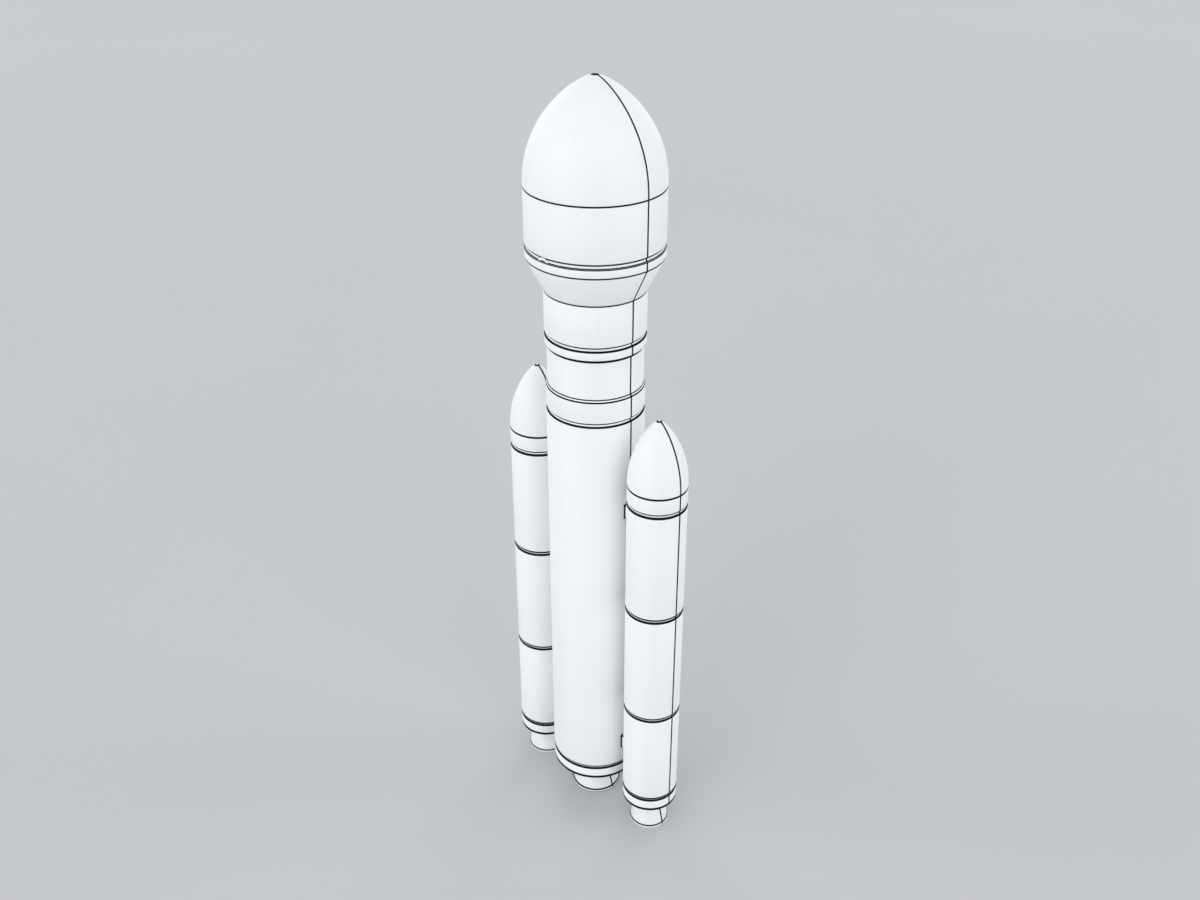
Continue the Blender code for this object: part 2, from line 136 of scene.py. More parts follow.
class RocketBoosterSizes(bpy.types.PropertyGroup):
    """Radii and heights of a side booster"""

    spacing: length("Spacing", "Distance from the core's axis to a booster's axis", 3.5)
    radius: length("Booster radius", "Radius of a booster's case", 1.234)
    groove: length("Groove depth", "How far a joint's neck lies in from the case", 0.035)
    base: length("Base", "Height of a booster's base band", 1.468)
    neck_base: length("Base neck", "Heights of the neck above the base band", (2.072, 2.22))
    neck_aft: length("Aft neck", "Heights of the neck above the aft case", (6.814, 6.96))
    neck_centre: length("Centre neck", "Heights of the neck above the centre case", (12.226, 12.375))
    neck_forward: length("Forward neck", "Heights of the neck above the forward case", (17.414, 17.57))
    nose_base: length("Nose base", "Height of the nose's foot", 18.288)
    tip: length("Tip", "Height of a booster's tip", 21.18)
    cap: length("Tip cap", "Radius and height of the cap on the tip", (0.08, 0.020))
    socket: length("Socket", "Radius of the nozzle's socket, and its ceiling's height", (0.58, 2.0))
    forward_fitting: length("Forward fitting", "Half width and heights of the upper fitting", (0.30, 16.13, 16.73))
    aft_fitting: length("Aft fitting", "Half width and heights of the lower fitting", (0.33, 3.45, 4.12))


class RocketEngineSizes(bpy.types.PropertyGroup):
    """Nozzles, engine block and pipe ring"""

    core_bell: length("Core nozzle", "Height and radius of the exit, then of the throat", (0.05, 1.128, 2.40, 0.27))
    core_curve: number("Core curve", "Curve of the core nozzle; 1 makes a straight cone", 1.15)
    booster_bell: length(
        "Booster nozzle", "Height and radius of the exit, then of the throat", (0.0, 0.88, 1.9997, 0.25))
    booster_curve: number("Booster curve", "Curve of a booster's nozzle; 1 makes a straight cone", 1.35)
    wall: length("Nozzle wall", "Thickness of a nozzle's wall", 0.035)
    lip: length("Lip", "Height of the lip at a nozzle's exit, and how far it stands out", (0.085, 0.015))
    block_radius: length("Engine radius", "Radius of the engine block", 0.34)
    pipe: length("Pipe ring", "Radius, height and thickness of the pipe ring", (0.425, 2.60, 0.10))


class RocketLineSizes(bpy.types.PropertyGroup):
    """Dark lines of sealant along joints, seams and edges, and dark bands of painted shade under overhangs and
    round the bases
    """

    joint: length("Joint line", "Height of the line on each side of a joint", 0.034)
    overhang: length("Overhang line", "Height of the line on an edge above a neck", 0.034)
    depth: length("Line depth", "How far a line is chamfered in", 0.014)
    foot: length("Neck foot", "Height of the dark band at a neck's foot", 0.043)
    # Dark band at a neck's top: painted shade under the edge that overhangs the neck
    crown: length("Neck crown", "Height of the dark band at a neck's top", 0.045)
    # Bands at the foot and top of the necks above the bases; the top band is painted shade
    base_neck: length("Base neck bands", "Height of the dark bands in the necks above the bases", 0.052)
    # A dark edge line, widened to paint the shadow of the gap between a base band and its nozzle
    base_edge: length("Base edge", "Height of the dark band round a base's lower edge", 0.150)
    # A band of painted shade under the adapter's overhanging step
    step: length("Step band", "Height of the dark band under the adapter's step", 0.11)
    seam: length("Seam", "Width and depth of the long seam", (0.082, 0.018))
    lip: length("Lip line", "Height of the dark band above a nozzle's lip", 0.050)
    bold: number("Booster lines", "How many times as thick lines are on a booster", 1.4)
    fitting: length("Fitting edge", "Width of the dark edges of the booster fittings", 0.040)
    gasket: length("Gasket", "How far a fitting's gasket stands out past it, and its thickness", (0.035, 0.030))
    tip: length("Tip ring", "Width of the dark ring on and round a tip's cap", 0.030)


class RocketBolts(bpy.types.PropertyGroup):
    """Hexagon bolts in the joints"""

    head: length("Head", "Radius and height of a bolt's head", (0.014, 0.012))
    core: count("Core bolts", "Bolts round a joint of the core", 96)
    booster: count("Booster bolts", "Bolts round a joint of a booster", 64)
    flange: count("Flange bolts", "Bolts round the engine's flange and the shield's hole", 24)


class RocketFinishes(bpy.types.PropertyGroup):
    """Colours of the finishes"""

    paint: tint("Paint", "Satin white paint of the skins", (0.855, 0.862, 0.872))
    nozzle: tint("Nozzle", "White coating of the nozzles", (0.84, 0.847, 0.857))
    # Sealant colour, also used for the bands painted as shade under overhangs and round the bases
    sealant_and_shade: tint("Sealant", "Dark sealant in joints and seams", (0.008, 0.009, 0.011))
    # Grey painted shade in the recessed necks above the bases
    neck: tint("Base neck", "Grey finish in the necks above the bases", (0.24, 0.25, 0.27))
    primer: tint("Primer", "Pale primer on faces that aren't painted white", (0.42, 0.45, 0.42))
    metal: tint("Metal", "Bare aluminium fittings", (0.62, 0.63, 0.65))
    steel: tint("Steel", "Steel of the engine and gimbal", (0.44, 0.43, 0.43))
    tile: tint("Tile", "Acoustic tiles inside the fairing", (0.62, 0.60, 0.55))
    composite: tint("Composite", "Bare composite inside the fairing", (0.10, 0.105, 0.11))


class RocketStage(bpy.types.PropertyGroup):
    """Camera, floor and light"""

    camera_place: number("Camera place", "Where the camera stands", (31.607, -31.356, 44.273),
                         unit="LENGTH", subtype="TRANSLATION")
    camera_turn: angle("Camera turn", "Turn of the camera about the vertical", 45.0)
    camera_pitch: angle("Camera pitch", "How far the camera looks down", 30.14)
    lens: number("Lens", "Focal length on a 36 mm wide sensor, in millimetres", 37.17)
    floor_radius: length("Floor radius", "Radius of the floor", 400.0)
    floor: tint("Floor", "Colour of the floor", (0.58, 0.585, 0.595))
    sky: tint("Sky", "Colour of the soft light from all round", (0.95, 0.975, 1.0))
    sky_strength: number("Sky strength", "Strength of the light from all round", 0.64)
    key_strength: number("Key strength", "Strength of the soft light from the left", 0.30)
    key_spread: angle("Key spread", "Width of each soft lamp", 34.0)
    ring_strength: number("Ring strength", "Strength of each low lamp round the rocket", 0.63)
    ring_lamps: count("Ring lamps", "Number of low lamps round the rocket", 6)
    ring_height: angle("Ring height", "Height of the low lamps over the horizon", 15.0)


def group(name):
    """One of the scene's groups of sizes or colours."""
    return getattr(bpy.context.scene, "rocket_" + name)


# Finishes

def shade(colour, factor):
    return (*(min(1.0, part * factor) for part in colour), 1.0)


class Nodes:
    """The nodes of one material, on its object's coordinates."""

    def __init__(self, material):
        material.use_nodes = True
        self.tree = material.node_tree
        self.place = self.add("TexCoord", {}).outputs["Object"]

    def fill(self, sockets, values):
        """Joins each named socket to the one that it is given, or sets its value."""
        for key, value in values.items():
            if isinstance(value, bpy.types.NodeSocket):
                self.tree.links.new(value, sockets[key])
            else:
                sockets[key].default_value = value

    def add(self, kind, inputs, **settings):
        made = self.tree.nodes.new("ShaderNode" + kind)
        for key, value in settings.items():
            setattr(made, key, value)
        self.fill(made.inputs, inputs)
        return made

    def noise(self, scale, detail=3.0, stretch=(1.0, 1.0, 1.0)):
        """Noise at a number of lumps per metre, stretched along the axes."""
        place = self.add("Mapping", {"Vector": self.place, "Scale": stretch}).outputs[0]
        return self.add("TexNoise", {"Vector": place, "Scale": scale, "Detail": detail}).outputs["Fac"]

    def ranged(self, value, low, high, start=0.3, end=0.7):
        """A value between start and end, spread from low to high."""
        return self.add("MapRange", {"Value": value, "From Min": start, "From Max": end,
                                     "To Min": low, "To Max": high}).outputs["Result"]

    def maths(self, operation, *values):
        return self.add("Math", dict(enumerate(values)), operation=operation).outputs[0]

    def mixed(self, share, first, second, blend="MIX"):
        """A mix of two colours, whose sockets are 0 for the share, 6 and 7."""
        return self.add("Mix", {0: share, 6: first, 7: second}, data_type="RGBA", blend_type=blend).outputs[2]

    def cloudy(self, value, colour, low, high):
        """A colour that runs from one shade of it to another with a noise."""
        return self.mixed(self.ranged(value, 0.0, 1.0), shade(colour, low), shade(colour, high))

    def bumped(self, height, distance, strength, **under):
        """Bumps, over another bump where its Normal is given."""
        return self.add("Bump", {"Height": height, "Distance": distance, "Strength": strength,
                                 **under}).outputs["Normal"]

    def surface(self, base, roughness, specular=0.5, metallic=0.0, **bump):
        self.fill(self.tree.nodes["Principled BSDF"].inputs, {
            "Base Color": base, "Roughness": roughness, "Specular IOR Level": specular,
            "Metallic": metallic, **bump})


def paint(nodes, colour):
    """Satin paint with faint patches, streaks that run down it, and the skin's slight waves."""
    patches = nodes.cloudy(nodes.noise(0.55, 4.0), colour, 0.988, 1.012)
    streaks = nodes.cloudy(nodes.noise(1.0, stretch=(3.2, 3.2, 0.16)), (1, 1, 1), 0.98, 1.0)
    waves = nodes.bumped(nodes.noise(0.9, 2.0, (1.0, 1.0, 0.45)), 0.012, 0.35)
    grain = nodes.bumped(nodes.noise(55.0, 2.0), 0.0006, 0.2, Normal=waves)
    nodes.surface(nodes.mixed(1.0, patches, streaks, "MULTIPLY"), nodes.ranged(nodes.noise(1.7), 0.52, 0.64),
                  specular=0.2, Normal=grain)


def sealant_and_shade(nodes, colour):
    """Dark matt sealant with a slightly lumpy bead. The same material paints the dark bands of shade under
    overhangs and round the bases.
    """
    lumps = nodes.noise(9.0)
    nodes.surface(nodes.cloudy(lumps, colour, 0.75, 1.35), nodes.ranged(lumps, 0.82, 0.95), specular=0.15,
                  Normal=nodes.bumped(nodes.noise(30.0), 0.002, 0.6))


def primer(nodes, colour):
    """Flat primer with cloudy cover. In the grey of the necks above the bases it lays painted shade."""
    clouds = nodes.noise(2.4, 5.0)
    nodes.surface(nodes.cloudy(clouds, colour, 0.90, 1.08), nodes.ranged(clouds, 0.62, 0.78),
                  Normal=nodes.bumped(nodes.noise(40.0), 0.001, 0.5))


def metal(nodes, colour, smooth, rough):
    """Brushed metal: fine grain along its height, with handling marks in its gloss."""
    brushed = nodes.noise(1.0, 4.0, (60.0, 60.0, 4.0))
    nodes.surface(nodes.cloudy(brushed, colour, 0.86, 1.10), nodes.ranged(nodes.noise(3.0, 5.0), smooth, rough),
                  metallic=0.9, Normal=nodes.bumped(brushed, 0.0008, 0.4))


def throat_darkening(nodes, colour, exit_z, throat_z, centre_x, channels):
    """Inside of a nozzle: fine upright channels, pale near the exit and darker towards the throat."""
    climb = nodes.ranged(nodes.add("SeparateXYZ", {"Vector": nodes.place}).outputs["Z"], 0.0, 1.0,
                         exit_z, throat_z)
    mottle = nodes.noise(2.0, 5.0, (1.0, 1.0, 0.4))
    share = nodes.ranged(nodes.maths("MULTIPLY_ADD", climb, mottle, 0.10), 0.0, 1.0, 0.1, 0.7)
    centred = nodes.add("Mapping", {"Vector": nodes.place, "Location": (-centre_x, 0.0, 0.0)}).outputs[0]
    around = nodes.add("TexGradient", {"Vector": centred}, gradient_type="RADIAL").outputs["Fac"]
    ridges = nodes.maths("SINE", nodes.maths("MULTIPLY", around, math.tau * channels))
    nodes.surface(nodes.mixed(share, shade(colour, 1.0), (0.018, 0.017, 0.016, 1)),
                  nodes.ranged(mottle, 0.55, 0.85), Normal=nodes.bumped(ridges, 0.004, 0.7))


def coating(nodes, colour):
    """White heat-proof coating, laid on in fine rings."""
    rings = nodes.noise(1.0, stretch=(0.6, 0.6, 22.0))
    patches = nodes.cloudy(nodes.noise(1.4, 4.0), colour, 0.985, 1.01)
    nodes.surface(nodes.mixed(1.0, patches, nodes.cloudy(rings, (1, 1, 1), 0.975, 1.0), "MULTIPLY"),
                  nodes.ranged(rings, 0.48, 0.60), Normal=nodes.bumped(rings, 0.0012, 0.5))


def tile(nodes, colour):
    """Rigid acoustic tile with fine perforations, whose dark colour is painted shade, and a faintly uneven face."""
    holes = nodes.add("TexVoronoi", {"Vector": nodes.place, "Scale": 48.0}).outputs["Distance"]
    # The dark colour in the perforations is painted shade; the same mask shapes their bumps
    perforations_and_shade, clouds = nodes.ranged(holes, 0.0, 1.0, 0.12, 0.26), nodes.noise(1.6, 4.0)
    nodes.surface(nodes.mixed(perforations_and_shade, shade(colour, 0.45), nodes.cloudy(clouds, colour, 0.93, 1.05)),
                  nodes.ranged(clouds, 0.72, 0.86), Normal=nodes.bumped(perforations_and_shade, 0.003, 0.7))


def composite(nodes, colour):
    """Woven composite: a fine checker of two lights in one dark cloth."""
    weave = nodes.add("TexChecker", {"Vector": nodes.place, "Scale": 90.0, "Color1": shade(colour, 0.75),
                                     "Color2": shade(colour, 1.3)}).outputs
    clouds = nodes.noise(1.2, 4.0)
    nodes.surface(nodes.mixed(nodes.ranged(clouds, 0.0, 0.35), weave["Color"], shade(colour, 1.6)),
                  nodes.ranged(clouds, 0.35, 0.55), Normal=nodes.bumped(weave["Fac"], 0.0006, 0.4))


def plain_floor(nodes, colour):
    """Plain pale floor with hardly any grain."""
    nodes.surface(nodes.cloudy(nodes.noise(0.02), colour, 0.99, 1.01), 0.9, specular=0.1)


def finish(name):
    """The finish of this name, made the first time that a piece asks for it."""
    if name in bpy.data.materials:
        return bpy.data.materials[name]
    colours, engine, spacing = group("finishes"), group("engine"), group("booster").spacing
    core_heights, booster_heights = (tuple(sizes)[0:3:2] for sizes in (engine.core_bell, engine.booster_bell))
    build, *settings = {
        "satin_paint": (paint, colours.paint),
        "sealant_and_painted_shade": (sealant_and_shade, colours.sealant_and_shade),
        # Grey painted shade for the necks above the bases, on the primer's surface
        "neck_painted_shade": (primer, colours.neck),
        "pale_primer": (primer, colours.primer),
        "nozzle_coating": (coating, colours.nozzle),
        "brushed_aluminium": (metal, colours.metal, 0.28, 0.46),
        "engine_steel": (metal, colours.steel, 0.34, 0.55),
        "acoustic_tile": (tile, colours.tile),
        "woven_composite": (composite, colours.composite),
        "core_throat_dark": (throat_darkening, colours.nozzle, *core_heights, 0.0, 180),
        "right_throat_dark": (throat_darkening, colours.nozzle, *booster_heights, spacing, 90),
        "left_throat_dark": (throat_darkening, colours.nozzle, *booster_heights, -spacing, 90),
        "studio_floor": (plain_floor, group("stage").floor),
    }[name]
    material = bpy.data.materials.new(name)
    build(Nodes(material), *settings)
    return material


# Objects and pieces

def placed(name, data):
    obj = bpy.data.objects.new(name, data)
    bpy.context.scene.collection.objects.link(obj)
    return obj


def meshed(name, work, finishes):
    """An object with the mesh that was worked on."""
    mesh = bpy.data.meshes.new(name)
    work.to_mesh(mesh)
    work.free()
    for used in finishes:
        mesh.materials.append(finish(used))
    return placed(name, mesh)


def piece(name, work, body, finishes, replaced=(), sharp=28.0):
    """Makes a mesh into a piece that rides on a body: smooth, with its edges over an angle sharp."""
    for face in work.faces:
        face.smooth = True
    for edge in work.edges:
        edge.smooth = edge.is_manifold and edge.calc_face_angle(0.0) < math.radians(sharp)
    obj = meshed(name, work, finishes)
    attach(obj, body)
    if replaced:
        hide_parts(*replaced)


def boosters():
    """Each booster's side, and its axis along X."""
    return (("right", group("booster").spacing), ("left", -group("booster").spacing))


# Modelling

def once(items):
    """Each item once, in the order that it comes."""
    return list(dict.fromkeys(items))


def pairs(points, closed=False):
    return list(zip(points, points[1:] + (points[:1] if closed else [])))


def spin(work, points, edges, turned, steps, centre_x=0.0, **settings):
    """Spins edges round an upright axis and gives the new faces."""
    before = set(work.faces)
    bmesh.ops.spin(work, geom=[*points, *edges], cent=(centre_x, 0.0, 0.0), axis=(0.0, 0.0, 1.0),
                   dvec=(0.0, 0.0, 0.0), angle=turned, steps=steps, **settings)
    return [face for face in work.faces if face not in before]


def turn(work, profile, sides, centre_x=0.0, closed=False):
    """Spins (radius, height, finish) points all round. A face has its first point's finish."""
    points = [work.verts.new((centre_x + radius, 0.0, z)) for radius, z, _ in profile]
    edges = [work.edges.new(pair) for pair in pairs(points, closed)]
    middles = [((a[0] + b[0]) / 2, (a[1] + b[1]) / 2, a[2]) for a, b in pairs(profile, closed)]
    for face in spin(work, points, edges, math.tau, sides, centre_x, use_merge=True):
        centre = face.calc_center_median()
        radius = math.hypot(centre.x - centre_x, centre.y) / math.cos(math.pi / sides)
        face.material_index = min(
            middles, key=lambda middle: (middle[0] - radius) ** 2 + (middle[1] - centre.z) ** 2)[2]
    bmesh.ops.remove_doubles(work, verts=work.verts, dist=TINY)
    bmesh.ops.recalc_face_normals(work, faces=work.faces)
    return work


def cut(work, y, geom=None, side=1.0, clear=False):
    """Cuts all or some of the mesh across Y, and clears what lies beyond on that side if asked."""
    if geom is None:
        geom = [*work.verts, *work.edges, *work.faces]
    bmesh.ops.bisect_plane(work, geom=geom, dist=TINY, plane_co=(0.0, y, 0.0), plane_no=(0.0, side, 0.0),
                           clear_outer=clear)


def bevel(work, edges, offset, finish_index=-1):
    bmesh.ops.bevel(work, geom=edges, offset=offset, segments=1, profile=0.5, affect="EDGES",
                    material=finish_index)


def outside(face, centre_x, least):
    """Whether a face is on the +X side of an axis and faces away from it."""
    away = face.calc_center_median() - Vector((centre_x, 0.0, 0.0))
    away.z = 0.0
    return away.x > 0.0 and away.length > TINY and face.normal.dot(away.normalized()) > least


def cut_seam(work, centre_x=0.0, least=0.3, along_normal=False):
    """Cuts the long seam down the +X side: a dark strip whose middle is pressed in."""
    width, depth = group("lines").seam
    half = width / 2
    for y in (-half, half):
        faces = [face for face in work.faces if outside(face, centre_x, least)
                 and min(v.co.y for v in face.verts) < y < max(v.co.y for v in face.verts)]
        edges = once(edge for face in faces for edge in face.edges)
        cut(work, y, [*once(point for face in faces for point in face.verts), *edges, *faces])
    strip = [face for face in work.faces if outside(face, centre_x, least)
             and all(abs(v.co.y) < half + TINY for v in face.verts)]
    work.normal_update()
    for point in once(v for face in strip for v in face.verts if abs(v.co.y) < half - TINY):
        inward = -point.normal if along_normal else Vector((-1.0, 0.0, 0.0))
        point.co += inward * depth * (1 - abs(point.co.y) / half)
    for face in strip:
        face.material_index = SEALANT_AND_SHADE


def hidden(places):
    return [(r, z, HIDDEN) for r, z in places]


def skin_profile(radius, low, high, neck=None, top_radius=None, low_line=None, high_line=None,
                 low_band=0.0, hollow=()):
    """Points of a closed drum from its top down. The neck is (radius, top, foot band, crown band); the crown band
    is painted shade under the edge above the neck.
    """
    lines = group("lines")
    top_radius, hollow = top_radius or radius, hollow or [(0.0, low)]
    low_line, high_line = low_line or lines.joint, high_line or lines.joint
    slope = (radius - top_radius) / (high - low)
    points = [(0.0, high, HIDDEN)]
    if neck:
        neck_r, neck_top, foot, crown = neck
        # The crown band at the neck's top is dark as painted shade under the edge above it
        points = [(hollow[-1][0], neck_top, HIDDEN), (neck_r, neck_top, SEALANT_AND_SHADE),
                  (neck_r, neck_top - crown, NECK), (neck_r, high + foot, SEALANT_AND_SHADE), (neck_r, high, SEALANT_AND_SHADE)]
    points += [(top_radius - lines.depth, high, SEALANT_AND_SHADE),
               (top_radius + slope * high_line, high - high_line, PAINT)]
    # The low band is a dark edge line widened to paint the shadow of the gap above the nozzle
    if low_band:
        points += [(radius, low + low_band, SEALANT_AND_SHADE), (radius, low + ROUND, SEALANT_AND_SHADE),
                   (radius - ROUND, low, HIDDEN)]
    else:
        points += [(radius - slope * low_line, low + low_line, SEALANT_AND_SHADE), (radius - lines.depth, low, HIDDEN)]
    return points + hidden(hollow)


def skin(node_name, slot, profile, centre_x=0.0, neck_finish="satin_paint", closed=False, **seam):
    """A turned skin with its long seam, in place of its CAD node."""
    sides = SMALL_SIDES if centre_x else group("stack").sides
    work = turn(bmesh.new(), profile, sides, centre_x, closed)
    cut_seam(work, centre_x, **seam)
    piece(node_name + "_skin", work, "stack",
          ["satin_paint", "sealant_and_painted_shade", neck_finish, "pale_primer"], [node_name])


def nose_points(base_r, tip_r, base_z, tip_z, curve, steps):
    """(radius, height) points of a blunt nose, from its flat tip down to its base."""
    power, root = curve
    shares = [math.cos(math.pi / 2 * i / steps) for i in range(steps + 1)]
    return [(tip_r + (base_r - tip_r) * (1 - share**power) ** root, base_z + (tip_z - base_z) * share)
            for share in shares]


def nose_profile(sizes, nose, line):
    """Points of a nose down to the line above its foot, with a cap on its tip and a dark ring round it."""
    curve, drawn_in, steps = nose
    cap_r, cap_height = sizes.cap
    ring = group("lines").tip
    points = [(0.0, sizes.tip, PAINT), (cap_r - ring, sizes.tip, SEALANT_AND_SHADE), (cap_r, sizes.tip - ROUND, SEALANT_AND_SHADE)]
    for r, z in nose_points(sizes.radius, cap_r, sizes.nose_base, sizes.tip - cap_height, curve, steps):
        if z > sizes.nose_base + 2 * line:
            points.append((r, z, SEALANT_AND_SHADE if r < cap_r + ring else PAINT))
    return points + [(sizes.radius - drawn_in, sizes.nose_base + line, SEALANT_AND_SHADE)]


def inner_nose(inset, steps):
    """Points inside the fairing's nose."""
    sizes = group("fairing")
    wall, tip_wall = sizes.wall
    return nose_points(sizes.radius - wall - inset, 0.0, sizes.nose_base, sizes.tip - tip_wall,
                       FAIRING_NOSE[0], steps)


def bell(node_name, body, sizes_of_bell, curve, rings, darkening_name, centre_x=0.0):
    """A nozzle with a wall, a proud lip at its exit and its long seam, in place of its CAD node."""
    exit_z, exit_r, throat_z, throat_r = sizes_of_bell
    wall, (lip_height, lip_proud) = group("engine").wall, group("engine").lip
    skin_r, ledge = exit_r - lip_proud, exit_z + lip_height

    def radius(z):
        return skin_r - (skin_r - throat_r) * ((z - exit_z) / (throat_z - exit_z)) ** curve

    drop = ledge + group("lines").lip - throat_z
    heights = [throat_z + drop * i / rings for i in range(rings + 1)]
    outer = [(radius(z), z, COATING) for z in heights]
    inner = [(r - wall, z, THROAT_DARK) for r, z, _ in reversed(outer)]
    outer[-1] = (*outer[-1][:2], SEALANT_AND_SHADE)
    inner[-1] = (*inner[-1][:2], COATING)
    rim = [(radius(ledge), ledge, SEALANT_AND_SHADE), (exit_r - ROUND, ledge, SEALANT_AND_SHADE), (exit_r, ledge - ROUND, COATING),
           (exit_r, exit_z + ROUND / 2, COATING), (exit_r - ROUND / 2, exit_z, COATING),
           (skin_r - wall, exit_z, THROAT_DARK)]
    work = turn(bmesh.new(), outer + rim + inner, SMALL_SIDES, centre_x, closed=True)
    cut_seam(work, centre_x)
    piece(node_name + "_bell", work, body, ["nozzle_coating", "sealant_and_painted_shade", darkening_name],
          [node_name])


def hexagons(work, places, radius, height, finish_index=0, taper=0.9):
    """Hexagonal heads. Each place's own +Z points out of the surface."""
    for place in places:
        made = bmesh.ops.create_cone(
            work, cap_ends=True, segments=6, radius1=radius, radius2=radius * taper, depth=height,
            matrix=place @ Matrix.Translation((0.0, 0.0, height / 2)))
        for face in {face for point in made["verts"] for face in point.link_faces}:
            face.material_index = finish_index


def add_bolts(work, places, finish_index=0, wide=1.0, high=1.0):
    radius, height = group("bolts").head
    hexagons(work, places, radius * wide, height * high, finish_index)


def ring_places(radius, z, number_of, centre_x=0.0, facing="OUT"):
    """Places spread evenly round an upright axis, facing OUT, UP or DOWN."""
    faced = {"OUT": Matrix.Rotation(math.pi / 2, 4, "Y"), "UP": Matrix.Identity(4),
             "DOWN": Matrix.Rotation(math.pi, 4, "X")}[facing]
    turns = [Matrix.Rotation(math.tau * (i + 0.5) / number_of, 4, "Z") for i in range(number_of)]
    return [Matrix.Translation((centre_x, 0.0, z)) @ turned @ Matrix.Translation((radius, 0.0, 0.0)) @ faced
            for turned in turns]


def block(work, start, end, edge, matrix=Matrix.Identity(4), finish_index=0, edge_index=-1):
    """A box between two opposite corners with bevelled edges."""
    start, end = Vector(start), Vector(end)
    centre = Matrix.Translation((start + end) / 2) @ Matrix.Diagonal((*map(abs, end - start), 1.0))
    points = bmesh.ops.create_cube(work, size=1.0, matrix=matrix @ centre)["verts"]
    for face in {face for point in points for face in point.link_faces}:
        face.material_index = finish_index
    bevel(work, once(edge for point in points for edge in point.link_edges), edge, edge_index)


# Operators

class BuildCoreSkins(bpy.types.Operator):
    """Builds the painted skins of the core, the upper stage and the adapter"""

    bl_idname = "rocket.core_skins"
    bl_label = "Core skins"

    def execute(self, context):
        sizes, lines = group("stack"), group("lines")
        core_r, neck_r = sizes.core_radius, sizes.core_radius - sizes.groove
        bay_r, bay_top = sizes.bay
        low, high = sizes.neck_base
        profile = skin_profile(core_r, sizes.base, low, (neck_r, high, lines.base_neck, lines.base_neck),
                               low_band=lines.base_edge, hollow=[(bay_r, sizes.base)])
        # The grey neck above the base band is painted shade in the recess
        skin("core_base_band", "tank_skin", profile, neck_finish="neck_painted_shade", closed=True)
        top, skirt = sizes.neck_middle
        profile = skin_profile(core_r, high, top, (neck_r, skirt, lines.foot, lines.crown),
                               low_line=lines.overhang, hollow=[(bay_r, high), (bay_r, bay_top), (0.0, bay_top)])
        skin("core_barrel", "tank_skin", profile)
        self.build_upper(sizes, lines, core_r, skirt)
        return {"FINISHED"}

    def build_upper(self, sizes, lines, core_r, skirt):
        """The pieces above the barrel, up to the fairing's cone."""
        upper_r, adapter_r, step, line = sizes.upper_radius, sizes.adapter_radius, sizes.step, lines.joint
        low, high = sizes.slope
        run = (core_r - upper_r) / (high - low)
        skin("core_forward_skirt", "tank_skin", [
            (0.0, high, HIDDEN), (upper_r, high, SEALANT_AND_SHADE), (upper_r + run * line, high - line, PAINT),
            (core_r - run * line, low + line, SEALANT_AND_SHADE), (core_r, low, SEALANT_AND_SHADE), (core_r, low - line, PAINT),
            (core_r, skirt + lines.overhang, SEALANT_AND_SHADE), (core_r - lines.depth, skirt, HIDDEN),
            (0.0, skirt, HIDDEN)])
        # The dark band at the upper stage's top is painted shade under the overhanging adapter band
        skin("upper_stage", "tank_skin", [
            (0.0, step, HIDDEN), (upper_r, step, SEALANT_AND_SHADE), (upper_r, step - lines.step, PAINT),
            (upper_r, high + line / 2, SEALANT_AND_SHADE), (upper_r - lines.depth, high, HIDDEN), (0.0, high, HIDDEN)])
        low, high = sizes.neck_adapter
        neck = (adapter_r - sizes.groove, high, lines.foot, lines.crown)
        skin("upper_stage_band", "tank_skin",
             skin_profile(adapter_r, step, low, neck, low_line=lines.overhang))
        skin("adapter_cylinder", "shell_skin",
             skin_profile(adapter_r, high, group("fairing").cone[0], low_line=lines.overhang))


class BuildFairingBase(bpy.types.Operator):
    """Builds the cone, the band and the ring that carry the fairing"""

    bl_idname = "rocket.fairing_base"
    bl_label = "Fairing base"

    ledge = 0.02        # width of the ring's bare ledge

    def execute(self, context):
        sizes, lines, stack = group("fairing"), group("lines"), group("stack")
        cone_low, cone_high = sizes.cone
        low, high = sizes.neck
        ring_r = sizes.radius - stack.groove
        skin("boat_tail_cone", "shell_skin",
             skin_profile(stack.adapter_radius, cone_low, cone_high, top_radius=sizes.radius,
                          low_line=lines.overhang, high_line=lines.overhang))
        skin("fairing_base_band", "shell_skin", skin_profile(sizes.radius, cone_high, low))
        # The ring's dark top band is painted shade under the lower edge of the halves
        skin("fairing_joint_ring", "shell_skin", [
            (0.0, high, HIDDEN), (ring_r - self.ledge, high, NECK), (ring_r, high - ROUND, SEALANT_AND_SHADE),
            (ring_r, high - lines.crown, NECK), (ring_r, low + lines.foot, SEALANT_AND_SHADE),
            (ring_r, low, HIDDEN), (0.0, low, HIDDEN)])
        return {"FINISHED"}


